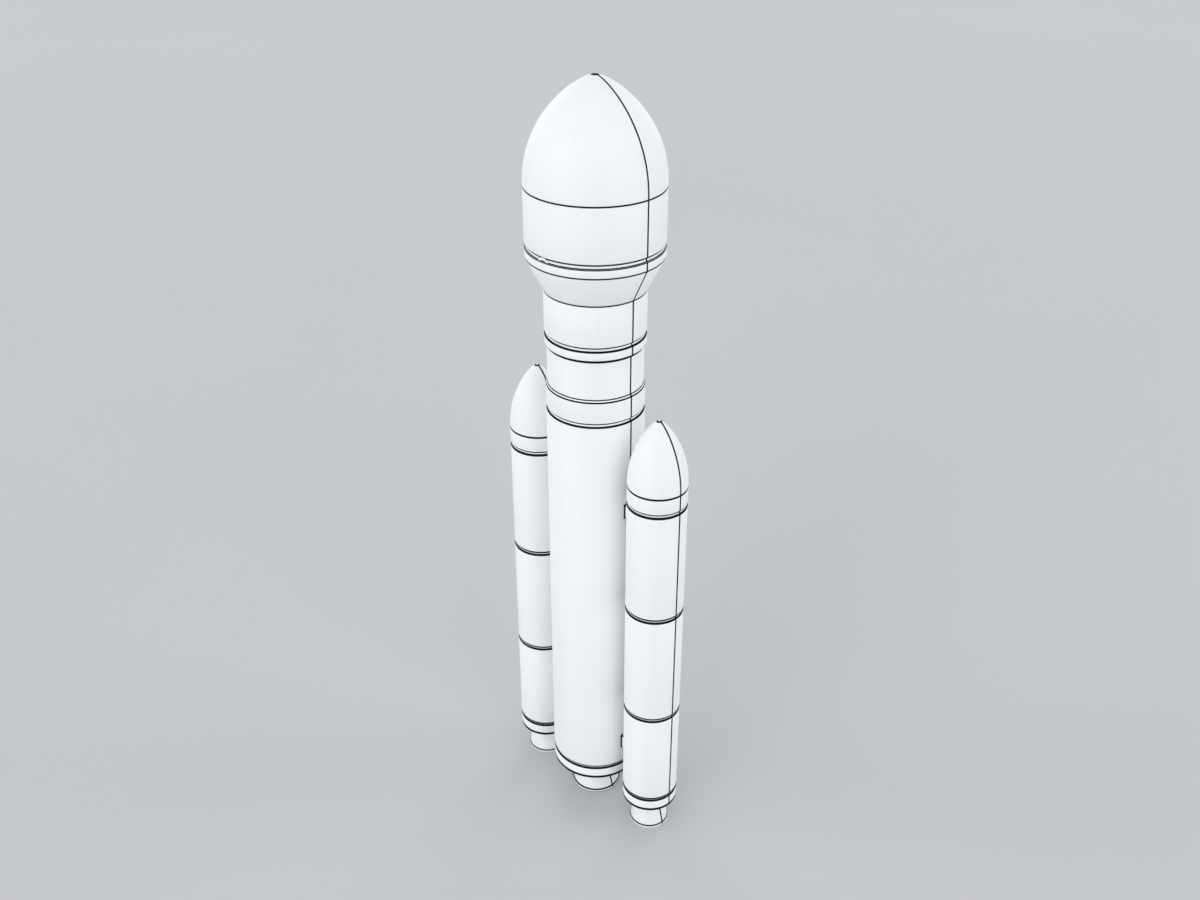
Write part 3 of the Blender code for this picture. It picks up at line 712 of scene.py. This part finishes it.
class BuildFairingHalves(bpy.types.Operator):
    """Builds the two halves of the fairing, which open away from each other"""

    bl_idname = "rocket.fairing_halves"
    bl_label = "Fairing halves"

    tip_clear = 0.2     # the split's edges are chamfered up to here below the tip

    def execute(self, context):
        for place, side in (("front", -1), ("rear", 1)):
            self.build_half(group("fairing"), group("lines"), place, side)
        return {"FINISHED"}

    def section(self, sizes, lines):
        """The wall's section from the tip down its outside and up its inside."""
        radius, depth, base = sizes.radius, lines.depth, sizes.nose_base
        bottom = sizes.neck[1] + sizes.clearance
        return nose_profile(sizes, FAIRING_NOSE, lines.joint) + [
            (radius - depth, base, SEALANT_AND_SHADE), (radius, base - lines.joint, PAINT),
            (radius, bottom + lines.overhang, SEALANT_AND_SHADE), (radius - depth, bottom, HIDDEN),
        ] + hidden([(radius - sizes.wall[0], bottom), *reversed(inner_nose(0.0, steps=28))])

    def build_half(self, sizes, lines, place, side):
        work = turn(bmesh.new(), self.section(sizes, lines), group("stack").sides)
        strip = lines.seam[0] / 2
        cut(work, side * sizes.clearance / 2, side=-side, clear=True)
        cut(work, side * strip, side=side)
        for face in work.faces:
            if face.material_index != HIDDEN and all(abs(v.co.y) < strip + TINY for v in face.verts):
                face.material_index = SEALANT_AND_SHADE
        work.normal_update()
        rim = [edge for edge in work.edges if edge.is_boundary]
        for point in once(point for edge in rim if edge.link_faces[0].material_index != HIDDEN
                          for point in edge.verts if point.co.z < sizes.tip - self.tip_clear):
            point.co -= Vector((point.normal.x, 0.0, point.normal.z)).normalized() * lines.depth
        for item in bmesh.ops.triangle_fill(work, edges=rim, use_beauty=True, use_dissolve=False)["geom"]:
            if isinstance(item, bmesh.types.BMFace):
                item.material_index = NECK
        bmesh.ops.dissolve_degenerate(work, edges=work.edges, dist=10 * TINY)
        bmesh.ops.recalc_face_normals(work, faces=work.faces)
        piece(f"fairing_{place}_half_skin", work, f"fairing_{place}",
              ["satin_paint", "sealant_and_painted_shade", "brushed_aluminium", "woven_composite"],
              [f"fairing_{place}_half"])


class BuildCoreNozzle(bpy.types.Operator):
    """Builds the core's steered nozzle"""

    bl_idname = "rocket.core_nozzle"
    bl_label = "Core nozzle"

    def execute(self, context):
        sizes = group("engine")
        bell("core_nozzle", "engine", sizes.core_bell, sizes.core_curve, rings=28, darkening_name="core_throat_dark")
        return {"FINISHED"}


class BuildBoosters(bpy.types.Operator):
    """Builds the painted cases, bands and noses of both boosters"""

    bl_idname = "rocket.boosters"
    bl_label = "Boosters"

    def execute(self, context):
        for side, x in boosters():
            self.build_booster(group("booster"), group("lines"), "booster_" + side, x)
        return {"FINISHED"}

    def build_booster(self, sizes, lines, name, x):
        radius, neck_r, (socket_r, socket_top) = sizes.radius, sizes.radius - sizes.groove, sizes.socket
        joint, overhang, foot, crown, base_neck = (
            size * lines.bold for size in (lines.joint, lines.overhang, lines.foot, lines.crown, lines.base_neck))
        low, high = sizes.neck_base
        profile = skin_profile(
            radius, sizes.base, low, (neck_r, high, foot, base_neck), high_line=joint, low_band=lines.base_edge,
            hollow=[(socket_r, sizes.base), (socket_r, socket_top), (0.0, socket_top)])
        # The grey neck above the base band is painted shade in the recess
        skin(name + "_base_band", "booster_case", profile, x, neck_finish="neck_painted_shade")
        for case, below, above, band in (("_aft_case", sizes.neck_base, sizes.neck_aft, crown),
                                         ("_centre_case", sizes.neck_aft, sizes.neck_centre, crown),
                                         ("_forward_case", sizes.neck_centre, sizes.neck_forward, lines.crown)):
            profile = skin_profile(radius, below[1], above[0], (neck_r, above[1], foot, band),
                                   low_line=overhang, high_line=joint)
            skin(name + case, "booster_case", profile, x)
        profile = skin_profile(radius, sizes.neck_forward[1], sizes.nose_base, low_line=lines.overhang,
                               high_line=joint)
        skin(name + "_forward_band", "booster_case", profile, x)
        profile = nose_profile(sizes, BOOSTER_NOSE, joint)
        profile += hidden([(radius - lines.depth, sizes.nose_base), (0.0, sizes.nose_base)])
        skin(name + "_nose", "shell_skin", profile, x, least=0.05, along_normal=True)


class BuildBoosterNozzles(bpy.types.Operator):
    """Builds the fixed nozzles of both boosters"""

    bl_idname = "rocket.booster_nozzles"
    bl_label = "Booster nozzles"

    def execute(self, context):
        sizes = group("engine")
        for side, x in boosters():
            bell(f"booster_{side}_nozzle", "stack", sizes.booster_bell, sizes.booster_curve, rings=24,
                 darkening_name=side + "_throat_dark", centre_x=x)
        return {"FINISHED"}


class BuildBoosterFittings(bpy.types.Operator):
    """Builds the blocks that hold the boosters to the core"""

    bl_idname = "rocket.booster_fittings"
    bl_label = "Booster fittings"

    def execute(self, context):
        sizes = group("booster")
        for side, x in boosters():
            for level, fitting in (("forward", sizes.forward_fitting), ("aft", sizes.aft_fitting)):
                self.build_fitting(sizes, f"booster_{side}_{level}", math.copysign(1.0, x), *fitting)
        return {"FINISHED"}

    def build_fitting(self, sizes, name, side, half, low, high):
        """A block let into both skins, with a gasket on each skin."""
        core_r, edge = group("stack").core_radius, group("lines").fitting
        proud, thick = group("lines").gasket
        near = math.sqrt(core_r**2 - half**2) - edge / 2
        far = sizes.spacing - math.sqrt(sizes.radius**2 - half**2) + edge / 2
        work, wide = bmesh.new(), half + proud
        block(work, (side * near, -half, low), (side * far, half, high), edge, edge_index=SEALANT_AND_SHADE)
        for sunk, face_x in ((near, core_r + thick), (far, sizes.spacing - sizes.radius - thick)):
            block(work, (side * sunk, -wide, low - proud), (side * face_x, wide, high + proud), ROUND / 2,
                  finish_index=SEALANT_AND_SHADE)
        piece(name + "_block", work, "stack", ["satin_paint", "sealant_and_painted_shade"],
              [name + "_fitting"])


class BuildFairingLining(bpy.types.Operator):
    """Builds the acoustic tiles inside the fairing's halves"""

    bl_idname = "rocket.fairing_lining"
    bl_label = "Fairing lining"

    seat = 0.002        # gap between a tile and the wall
    tile_edge = 0.005   # bevel of a tile's edges

    def execute(self, context):
        sizes = group("fairing")
        inner_r, low = sizes.radius - sizes.wall[0] - self.seat, sizes.neck[1] + sizes.tile_margin
        climb = (sizes.nose_base - low) / sizes.tile_rows
        rows = [(inner_r, low + climb * i) for i in range(sizes.tile_rows)]
        rows += [point for point in reversed(inner_nose(self.seat, steps=10)) if point[0] > sizes.tile_top]
        for place, side in (("front", -1), ("rear", 1)):
            self.build_tiles(sizes, rows, place, side)
        return {"FINISHED"}

    def build_tiles(self, sizes, rows, place, side):
        """Spins the rows round half a turn, parts them into tiles and thickens each towards the axis."""
        work, (thickness, gap) = bmesh.new(), sizes.tile
        points = [work.verts.new((r, 0.0, z)) for r, z in rows]
        edges = [work.edges.new(pair) for pair in pairs(points)]
        spin(work, points, edges, side * math.pi, sizes.tile_columns)
        cut(work, side * sizes.tile_margin, side=-side, clear=True)
        work.normal_update()
        turned = [face for face in work.faces if face.normal.dot(face.calc_center_median().to_2d().to_3d()) > 0]
        bmesh.ops.reverse_faces(work, faces=turned)
        gaps = bmesh.ops.inset_individual(work, faces=work.faces[:], thickness=gap / 2, use_even_offset=True)
        bmesh.ops.delete(work, geom=gaps["faces"], context="FACES")
        tops = bmesh.ops.extrude_discrete_faces(work, faces=work.faces[:])["faces"]
        for face in tops:
            bmesh.ops.translate(work, verts=face.verts[:], vec=face.normal * thickness)
        bmesh.ops.holes_fill(work, edges=[edge for edge in work.edges if edge.is_boundary], sides=4)
        bmesh.ops.recalc_face_normals(work, faces=work.faces)
        bevel(work, once(edge for face in tops for edge in face.edges), self.tile_edge)
        piece(f"fairing_{place}_tiles", work, f"fairing_{place}", ["acoustic_tile"], sharp=20.0)


class BuildPayloadFittings(bpy.types.Operator):
    """Builds the payload cone, its clamp ring and the deck round it"""

    bl_idname = "rocket.payload_fittings"
    bl_label = "Payload fittings"

    small_head, cover_head = 0.8, 0.7       # bolt heads on the cone and on the covers, of a usual one
    rib_share = 0.8                         # how far a rib stands out, of the flange
    band_share, clamp_share = 0.9, 1.6      # half heights of band and clamps, of the ring's flange
    covers, cover_steps, cover_bolts = 8, 10, 64
    cover_start, cover_share = 0.1, 0.8     # where a cover starts in its sector, and how much it fills
    cover_margin = 0.13                     # part of the sector at each end that has no bolts
    cover_gaps = (0.2, 0.4)                 # from the covers to the cone and to the fairing's skin
    bolt_inset, rim_inset = 0.05, 0.15      # from a cover's edge and from the wall to the bolts

    def execute(self, context):
        sizes = group("fairing")
        self.build_cone(sizes, *sizes.adapter, *sizes.flange)
        self.build_ring(sizes, *sizes.ring, *sizes.ring_heights)
        self.build_deck(sizes, sizes.neck[1])
        return {"FINISHED"}

    def build_cone(self, sizes, foot_r, top_r, proud, high):
        shell, flange = 0, 1
        foot, top = sizes.neck[1], sizes.ring_heights[0]
        slope = (top_r - foot_r) / (top - foot)
        foot_rim, top_rim, foot_top = foot_r + proud, top_r + proud, foot + high
        work = turn(bmesh.new(), [
            (0.0, top, flange), (top_rim - ROUND / 2, top, flange), (top_rim, top - ROUND / 2, flange),
            (top_rim, top - high, flange), (top_r - slope * high, top - high, shell),
            (foot_r + slope * high, foot_top, flange), (foot_rim - ROUND / 2, foot_top, flange),
            (foot_rim, foot_top - ROUND / 2, flange), (foot_rim, foot, flange), (0.0, foot, flange),
        ], SMALL_SIDES)
        rib = math.hypot(top_r - foot_r, top - foot) / 2 - high
        middle = Matrix.Translation(((foot_r + top_r) / 2, 0.0, (foot + top) / 2))
        lean = Matrix.Rotation(math.atan(slope), 4, "Y")
        for i in range(sizes.stringers):
            place = Matrix.Rotation(math.tau * i / sizes.stringers, 4, "Z") @ middle @ lean
            block(work, (-ROUND, -ROUND, -rib), (proud * self.rib_share, ROUND, rib), ROUND / 4, place)
        places = ring_places(foot_r + proud / 2, foot_top, 2 * sizes.stringers, facing="UP")
        add_bolts(work, places, flange, self.small_head)
        piece("payload_cone", work, "stack", ["pale_primer", "brushed_aluminium"],
              ["payload_adapter"])

    def build_ring(self, sizes, inner_r, outer_r, foot, top):
        """The ring that a spacecraft stands on, with the band that clamps it."""
        ring, clamp = 0, 1
        flange = (top - foot) / 4
        groove_r, band_r = outer_r - sizes.flange[0], outer_r + ROUND
        section = [(inner_r, top), (outer_r - ROUND / 2, top), (outer_r, top - ROUND / 2),
                   (outer_r, top - flange), (groove_r, top - flange - ROUND), (groove_r, foot + flange + ROUND),
                   (outer_r, foot + flange), (outer_r, foot), (inner_r, foot)]
        work = turn(bmesh.new(), [(*point, ring) for point in section], SMALL_SIDES, closed=True)
        middle, half, wide = (foot + top) / 2, self.band_share * flange, self.clamp_share * flange
        band = [(band_r, middle + half), (band_r, middle - half), (outer_r, middle - half),
                (groove_r + ROUND / 4, middle), (outer_r, middle + half)]
        turn(work, [(*point, clamp) for point in band], SMALL_SIDES, closed=True)
        clamps = ring_places(band_r, middle, sizes.stringers // 2)
        for place in clamps:
            block(work, (-flange, -wide, -ROUND / 2), (flange, wide, 2 * ROUND), ROUND / 3, place,
                  finish_index=clamp)
        add_bolts(work, [place @ Matrix.Translation((0.0, side * flange, 2 * ROUND)) for place in clamps
                         for side in (-1, 1)], wide=self.small_head)
        piece("payload_clamp_ring", work, "stack", ["brushed_aluminium", "engine_steel"],
              ["payload_ring"])

    def build_deck(self, sizes, deck):
        """Low covers on the deck round the cone, and the bolts along its rim."""
        inner_r, outer_r = sizes.adapter[0] + self.cover_gaps[0], sizes.radius - self.cover_gaps[1]
        work = bmesh.new()
        for i in range(self.covers):
            start = Matrix.Rotation(math.tau * (i + self.cover_start) / self.covers, 4, "Z")
            ends = [work.verts.new(start @ Vector((radius, 0.0, deck + ROUND))) for radius in (inner_r, outer_r)]
            lid = spin(work, ends, [work.edges.new(ends)], math.tau * self.cover_share / self.covers,
                       self.cover_steps)
            drawn = bmesh.ops.extrude_face_region(work, geom=lid)
            points = [item for item in drawn["geom"] if isinstance(item, bmesh.types.BMVert)]
            bmesh.ops.translate(work, verts=points, vec=(0.0, 0.0, -ROUND))
        bmesh.ops.recalc_face_normals(work, faces=work.faces)
        bevel(work, [edge for edge in work.edges if edge.is_manifold and edge.calc_face_angle(0.0) > 1.0
                     and min(v.co.z for v in edge.verts) > deck + ROUND / 2], ROUND / 3)
        for radius in (inner_r + self.bolt_inset, outer_r - self.bolt_inset):
            places = [place for place in ring_places(radius, deck + ROUND, self.cover_bolts, facing="UP")
                      if self.over_cover(place)]
            add_bolts(work, places, 1, self.cover_head, self.cover_head)
        rim_r = sizes.radius - sizes.wall[0] - self.rim_inset
        add_bolts(work, ring_places(rim_r, deck, group("bolts").core, facing="UP"), 1)
        piece("payload_deck", work, "stack", ["pale_primer", "brushed_aluminium"])

    def over_cover(self, place):
        """Whether a place lies on a cover, and not in the gap between two."""
        share = math.atan2(place.translation.y, place.translation.x) / math.tau * self.covers % 1.0
        return self.cover_margin < share < 1.0 - self.cover_margin


class BuildEngineBay(bpy.types.Operator):
    """Builds the engine's pipe ring and flange, and the shield round the core nozzle"""

    bl_idname = "rocket.engine_bay"
    bl_label = "Engine bay"

    pipe_steps, branches = 12, 8
    branch_share, branch_short = 0.35, 0.4      # a branch's radius and how far it stops short, of the pipe
    flange_proud, flange_height = 0.03, 0.04    # the engine's flange, past the block
    shield_gap, bead_steps = 0.0003, 8          # gap to the bay's wall, and steps of the bead round the hole
    rim_inset, hole_inset = 0.08, 0.14          # from the shield's rim and from its hole to their bolts

    def execute(self, context):
        self.build_pipes(group("engine"), group("bolts").flange)
        self.build_shield(group("stack"), group("bolts").flange)
        return {"FINISHED"}

    def build_pipes(self, engine, bolted):
        (radius, height, thick), block_r = engine.pipe, engine.block_radius
        turns = [math.tau * i / self.pipe_steps for i in range(self.pipe_steps)]
        section = [(radius + thick / 2 * math.cos(t), height - thick / 2 * math.sin(t), 0) for t in turns]
        work = turn(bmesh.new(), section, PIPE_SIDES, closed=True)
        hexagons(work, ring_places(block_r, height, self.branches), thick * self.branch_share,
                 radius - block_r - thick * self.branch_short)
        top, throat_r = engine.core_bell[2:]
        flange_r, foot = block_r + self.flange_proud, top - self.flange_height
        flange = [(throat_r, top, 0), (flange_r, top, 0), (flange_r, foot, 0), (throat_r, foot, 0)]
        turn(work, flange, PIPE_SIDES, closed=True)
        add_bolts(work, ring_places(flange_r - self.flange_proud, foot, bolted, facing="DOWN"))
        piece("engine_pipes", work, "engine", ["engine_steel"], sharp=32.0)

    def build_shield(self, stack, bolted):
        hole_r, thickness = stack.shield
        low, bead, outer_r = stack.base, thickness / 2, stack.bay[0] - self.shield_gap
        profile = [(outer_r, low + thickness, 0), (outer_r, low, 0)]
        for i in range(self.bead_steps + 1):
            around = -math.pi / 2 - math.pi * i / self.bead_steps
            profile.append((hole_r + bead + bead * math.cos(around), low + bead + bead * math.sin(around), 0))
        work = turn(bmesh.new(), profile, SMALL_SIDES, closed=True)
        add_bolts(work, ring_places(outer_r - self.rim_inset, low, 2 * bolted, facing="DOWN"))
        add_bolts(work, ring_places(hole_r + self.hole_inset, low, bolted, facing="DOWN"))
        piece("core_shield", work, "stack", ["brushed_aluminium"], ["core_base_shield"])


class BuildJointBolts(bpy.types.Operator):
    """Builds the bolts in the necks between the sections and under the base bands"""

    bl_idname = "rocket.joint_bolts"
    bl_label = "Joint bolts"

    base_share = 0.93   # circle of the bolts under a booster's base, as a share of its radius

    def execute(self, context):
        stack, fairing, booster = group("stack"), group("fairing"), group("booster")
        core_r = stack.core_radius
        necks = [(radius - stack.groove, neck) for radius, neck in (
            (core_r, stack.neck_base), (core_r, stack.neck_middle), (stack.adapter_radius, stack.neck_adapter),
            (fairing.radius, fairing.neck))]
        self.build_bolts("core", "tank_skin", group("bolts").core, necks, (core_r + stack.bay[0]) / 2, stack.base)
        necks = [(booster.radius - booster.groove, neck) for neck in (
            booster.neck_base, booster.neck_aft, booster.neck_centre, booster.neck_forward)]
        for side, x in boosters():
            self.build_bolts("booster_" + side, "booster_case", group("bolts").booster, necks,
                             booster.radius * self.base_share, booster.base, x)
        return {"FINISHED"}

    def build_bolts(self, name, slot, bolted, necks, base_r, base, centre_x=0.0):
        work = bmesh.new()
        for radius, neck in necks:
            add_bolts(work, ring_places(radius - TINY, sum(neck) / 2, bolted, centre_x))
        add_bolts(work, ring_places(base_r, base, bolted, centre_x, "DOWN"))
        piece(name + "_joint_bolts", work, "stack", ["satin_paint"])


class FinishCarriedParts(bpy.types.Operator):
    """Gives the finishes to the solids that stay as they are: the gimbal, the engine and the hinges"""

    bl_idname = "rocket.carried_parts"
    bl_label = "Carried parts"

    carried = {
        "engine_steel": ("core_engine", "gimbal_bracket", "gimbal_ring"),
        "satin_paint": ("fairing_hinge_bracket_front", "fairing_hinge_bracket_rear",
                        "fairing_hinge_leaf_front", "fairing_hinge_leaf_rear"),
    }

    def execute(self, context):
        for used, names in self.carried.items():
            for name in names:
                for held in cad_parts[name].material_slots:
                    held.material = finish(used)
        return {"FINISHED"}


class SetStage(bpy.types.Operator):
    """Sets up the camera, the floor and the light"""

    bl_idname = "rocket.stage"
    bl_label = "Stage"

    key_from = (-0.75, -0.62, 0.80)     # where the soft light comes from, as the camera sees it
    floor_gap = 0.001                   # from the nozzles' rims down to the floor

    def execute(self, context):
        settings = group("stage")
        camera = placed("camera", bpy.data.cameras.new("camera"))
        camera.data.lens = settings.lens
        camera.data.sensor_width = 36.0
        camera.data.clip_end = 1000.0
        camera.location = settings.camera_place
        camera.rotation_euler = (math.pi / 2 - settings.camera_pitch, 0.0, settings.camera_turn)
        context.scene.camera = camera

        work = bmesh.new()
        bmesh.ops.create_circle(work, cap_ends=True, segments=SMALL_SIDES, radius=settings.floor_radius,
                                matrix=Matrix.Translation((0.0, 0.0, -self.floor_gap)))
        floor = meshed("floor", work, ["studio_floor"])

        world = bpy.data.worlds.new("studio")
        world.use_nodes = True
        background = world.node_tree.nodes["Background"].inputs
        background["Color"].default_value = (*settings.sky, 1.0)
        background["Strength"].default_value = settings.sky_strength
        context.scene.world = world
        facing = Matrix.Rotation(settings.camera_turn, 3, "Z")
        self.add_lamp("key", settings.key_strength, facing @ Vector(self.key_from))
        low = Vector((0.0, -math.cos(settings.ring_height), math.sin(settings.ring_height)))
        for i in range(settings.ring_lamps):
            turned = Matrix.Rotation(math.tau * (i + 0.5) / settings.ring_lamps, 3, "Z")
            self.add_lamp(f"ring_{i}", settings.ring_strength, facing @ turned @ low)
        context.scene.view_settings.view_transform = "Standard"
        return {"FINISHED"}

    def add_lamp(self, name, strength, towards):
        lamp = placed(name, bpy.data.lights.new(name, "SUN"))
        lamp.data.energy = strength
        lamp.data.angle = group("stage").key_spread
        lamp.rotation_euler = towards.to_track_quat("Z", "Y").to_euler()


class ROCKET_PT_surfaces(bpy.types.Panel):
    """Lists the steps that build the rocket's surfaces"""

    bl_label = "Rocket surfaces"
    bl_space_type = "VIEW_3D"
    bl_region_type = "UI"
    bl_category = "Rocket"

    def draw(self, context):
        for operator in OPERATORS:
            self.layout.operator(operator.bl_idname)


GROUPS = {
    "rocket_stack": RocketStackSizes, "rocket_fairing": RocketFairingSizes,
    "rocket_booster": RocketBoosterSizes, "rocket_engine": RocketEngineSizes,
    "rocket_lines": RocketLineSizes, "rocket_bolts": RocketBolts, "rocket_finishes": RocketFinishes,
    "rocket_stage": RocketStage,
}
OPERATORS = (
    BuildCoreSkins, BuildFairingBase, BuildFairingHalves, BuildCoreNozzle, BuildBoosters,
    BuildBoosterNozzles, BuildBoosterFittings, BuildFairingLining, BuildPayloadFittings, BuildEngineBay,
    BuildJointBolts, FinishCarriedParts, SetStage,
)
CLASSES = (*GROUPS.values(), *OPERATORS, ROCKET_PT_surfaces)


def register():
    for kind in CLASSES:
        bpy.utils.register_class(kind)
    for name, kind in GROUPS.items():
        setattr(bpy.types.Scene, name, PointerProperty(type=kind))


def unregister():
    for name in GROUPS:
        delattr(bpy.types.Scene, name)
    for kind in reversed(CLASSES):
        bpy.utils.unregister_class(kind)


def main():
    register()
    for operator in OPERATORS:
        category, name = operator.bl_idname.split(".")
        if getattr(getattr(bpy.ops, category), name)() != {"FINISHED"}:
            raise RuntimeError(operator.bl_label + " didn't finish")


if __name__ == "__main__":
    main()
